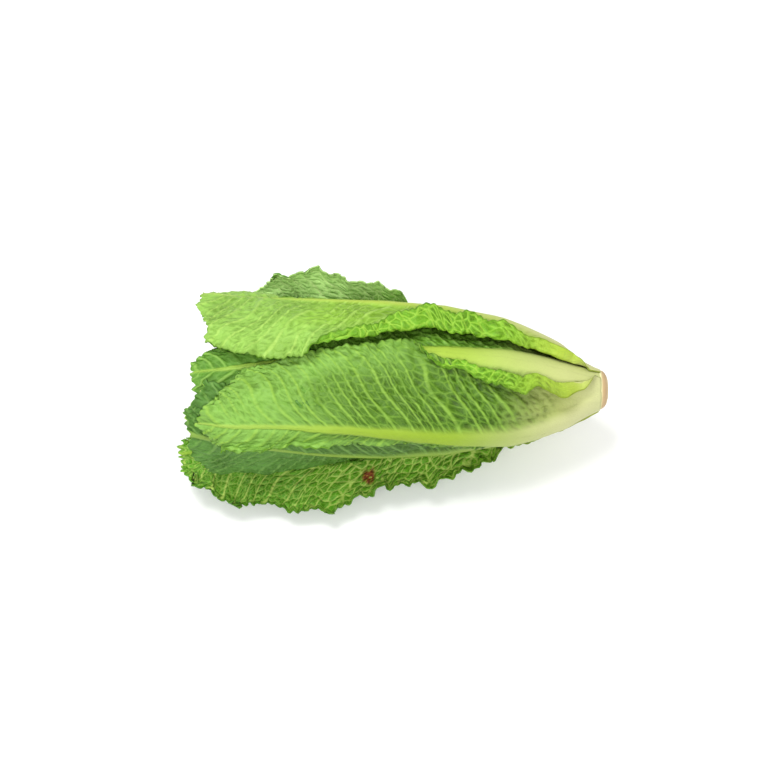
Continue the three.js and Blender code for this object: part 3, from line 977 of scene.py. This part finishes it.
class LettuceSettings(bpy.types.PropertyGroup):
    blade_thickness: bpy.props.FloatProperty(
        name="Blade Thickness",
        description="Thickness of a leaf away from its midrib",
        default=BLADE * MM,
        min=0.2 * MM,
        precision=4,
        unit="LENGTH",
    )
    ruffle: own_share("Ruffles", "Height of the waves along the margins, as a share of each leaf's own")
    tooth: own_share("Teeth", "Depth of the teeth along the margins, as a share of each leaf's own")
    cut_colour: colour_choice("Cut Face", "Colour in the middle of the cut face", "#DDD0A4")
    cut_rim_colour: colour_choice("Cut Rim", "Colour of the browned rim of the cut face", "#AA8C64")
    bruise_colour: colour_choice("Bruise", "Colour of the bruise on the lower front leaf", "#9A4A1C")
    outer_rows: mesh_count("Outer Leaf Rows", "Mesh rows along an outer leaf", 250)
    outer_columns: mesh_count("Outer Leaf Columns", "Mesh columns across an outer leaf", 140)
    middle_rows: mesh_count("Middle Leaf Rows", "Mesh rows along a middle leaf", 130)
    middle_columns: mesh_count("Middle Leaf Columns", "Mesh columns across a middle leaf", 64)
    heart_rows: mesh_count("Heart Leaf Rows", "Mesh rows along a heart leaf", 80)
    heart_columns: mesh_count("Heart Leaf Columns", "Mesh columns across a heart leaf", 40)


class StageSettings(bpy.types.PropertyGroup):
    azimuth: bpy.props.FloatProperty(
        name="Azimuth", description="Direction of the camera round the head", default=0.0, subtype="ANGLE"
    )
    elevation: bpy.props.FloatProperty(
        name="Elevation",
        description="Height of the camera over the horizon",
        default=math.radians(60),
        subtype="ANGLE",
    )
    lens: bpy.props.FloatProperty(
        name="Lens", description="Focal length in millimetres", default=85.0, min=1.0, unit="CAMERA"
    )
    width: bpy.props.FloatProperty(
        name="View Width", description="Width of the view at the head", default=0.525, unit="LENGTH"
    )
    floor_colour: colour_choice("Floor", "Colour of the floor", "#F4F4F4")
    daylight: bpy.props.FloatProperty(
        name="Daylight", description="Strength of the even light from all round", default=0.72, min=0.0
    )


class LETTUCE_OT_stem(bpy.types.Operator):
    """Build the short stem with its cut face"""

    bl_idname = "lettuce.stem"
    bl_label = "Build Stem"

    def execute(self, context):
        build_stem(context.scene.lettuce)
        return {"FINISHED"}


class LETTUCE_OT_heart_leaves(bpy.types.Operator):
    """Build the small pale leaves in the middle of the head"""

    bl_idname = "lettuce.heart_leaves"
    bl_label = "Build Heart Leaves"

    def execute(self, context):
        settings = context.scene.lettuce
        for leaf in reversed(spiral_leaves(**HEART_LEAVES)):
            build_leaf(leaf, settings, settings.heart_rows, settings.heart_columns)
        return {"FINISHED"}


class LETTUCE_OT_middle_leaves(bpy.types.Operator):
    """Build the leaves between the heart and the outer leaves"""

    bl_idname = "lettuce.middle_leaves"
    bl_label = "Build Middle Leaves"

    def execute(self, context):
        settings = context.scene.lettuce
        for leaf in reversed(spiral_leaves(**MIDDLE_LEAVES)):
            build_leaf(leaf, settings, settings.middle_rows, settings.middle_columns)
        return {"FINISHED"}


class LETTUCE_OT_outer_leaves(bpy.types.Operator):
    """Build the seven large outer leaves"""

    bl_idname = "lettuce.outer_leaves"
    bl_label = "Build Outer Leaves"

    def execute(self, context):
        settings = context.scene.lettuce
        for leaf in reversed(OUTER_LEAVES):
            build_leaf(leaf, settings, settings.outer_rows, settings.outer_columns)
        return {"FINISHED"}


class LETTUCE_OT_stage(bpy.types.Operator):
    """Build the pale floor, the soft lights and the camera"""

    bl_idname = "lettuce.stage"
    bl_label = "Build Stage"

    def execute(self, context):
        settings = context.scene.lettuce_stage
        context.scene.view_settings.view_transform = "Standard"
        build_floor(settings)
        build_lights(settings)
        build_camera(settings)
        return {"FINISHED"}


# ------------------------------------------------------------------ the stage, in metres
FLOOR_SIZE = 12
# Name, place, side and power in watts of each square lamp.
LAMPS = (
    ("key", (-0.3, 0.1, 1.4), 0.5, 13),
    ("fill", (0.0, -1.0, 1.15), 0.8, 12),
)
LAMP_TARGET = (0, 0, 0.04)
SENSOR_WIDTH = 36  # millimetres


def build_floor(settings):
    bpy.ops.object.select_all(action="DESELECT")
    bpy.ops.mesh.primitive_plane_add(size=FLOOR_SIZE)
    floor = bpy.context.object
    floor.name = "floor"
    graph = Graph("floor")
    graph.set(Base_Color=tuple(settings.floor_colour), Roughness=0.9)
    floor.data.materials.append(graph.material)
    floor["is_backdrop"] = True


def build_lights(settings):
    world = bpy.data.worlds.new("studio")
    world.use_nodes = True
    background = world.node_tree.nodes["Background"]
    background.inputs["Color"].default_value = (1, 1, 1, 1)
    background.inputs["Strength"].default_value = settings.daylight
    bpy.context.scene.world = world
    for name, place, size, power in LAMPS:
        bpy.ops.object.light_add(type="AREA", location=place)
        lamp = bpy.context.object
        lamp.name = name
        lamp.data.size = size
        lamp.data.energy = power
        aim(lamp, LAMP_TARGET)


def aim(thing, target):
    """Turns a lamp or the camera towards a place."""
    away = np.array(thing.location) - np.array(target)
    flat = math.hypot(away[0], away[1])
    thing.rotation_euler = (math.atan2(flat, away[2]), 0, math.atan2(away[0], -away[1]))


def build_camera(settings):
    """A camera that looks at the middle of the head's axis."""
    low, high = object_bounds()
    origin = head_origin()
    target = [(low.x + high.x) / 2, origin[1], origin[2]]
    half_angle = math.atan(SENSOR_WIDTH / 2 / settings.lens)
    distance = settings.width / 2 / math.tan(half_angle)
    flat = math.cos(settings.elevation) * distance
    place = (
        target[0] + flat * math.sin(settings.azimuth),
        target[1] - flat * math.cos(settings.azimuth),
        target[2] + distance * math.sin(settings.elevation),
    )
    bpy.ops.object.camera_add(location=place)
    camera = bpy.context.object
    camera.data.lens = settings.lens
    camera.data.sensor_width = SENSOR_WIDTH
    aim(camera, target)
    bpy.context.scene.camera = camera


# ------------------------------------------------------------------ the add-on
class LETTUCE_PT_panel(bpy.types.Panel):
    """Buttons that build the head piece by piece"""

    bl_label = "Romaine Lettuce"
    bl_idname = "LETTUCE_PT_panel"
    bl_space_type = "VIEW_3D"
    bl_region_type = "UI"
    bl_category = "Lettuce"

    def draw(self, context):
        for settings in (context.scene.lettuce, context.scene.lettuce_stage):
            for name in type(settings).__annotations__:
                self.layout.prop(settings, name)
        for operator in OPERATORS:
            self.layout.operator(operator.bl_idname)


OPERATORS = (
    LETTUCE_OT_stem,
    LETTUCE_OT_heart_leaves,
    LETTUCE_OT_middle_leaves,
    LETTUCE_OT_outer_leaves,
    LETTUCE_OT_stage,
)
CLASSES = (LettuceSettings, StageSettings, *OPERATORS, LETTUCE_PT_panel)


def register():
    for cls in CLASSES:
        bpy.utils.register_class(cls)
    bpy.types.Scene.lettuce = bpy.props.PointerProperty(type=LettuceSettings)
    bpy.types.Scene.lettuce_stage = bpy.props.PointerProperty(type=StageSettings)


def unregister():
    del bpy.types.Scene.lettuce_stage
    del bpy.types.Scene.lettuce
    for cls in reversed(CLASSES):
        bpy.utils.unregister_class(cls)


def main():
    register()
    bpy.ops.lettuce.stem()
    bpy.ops.lettuce.heart_leaves()
    bpy.ops.lettuce.middle_leaves()
    bpy.ops.lettuce.outer_leaves()
    bpy.ops.lettuce.stage()


if __name__ == "__main__":
    main()
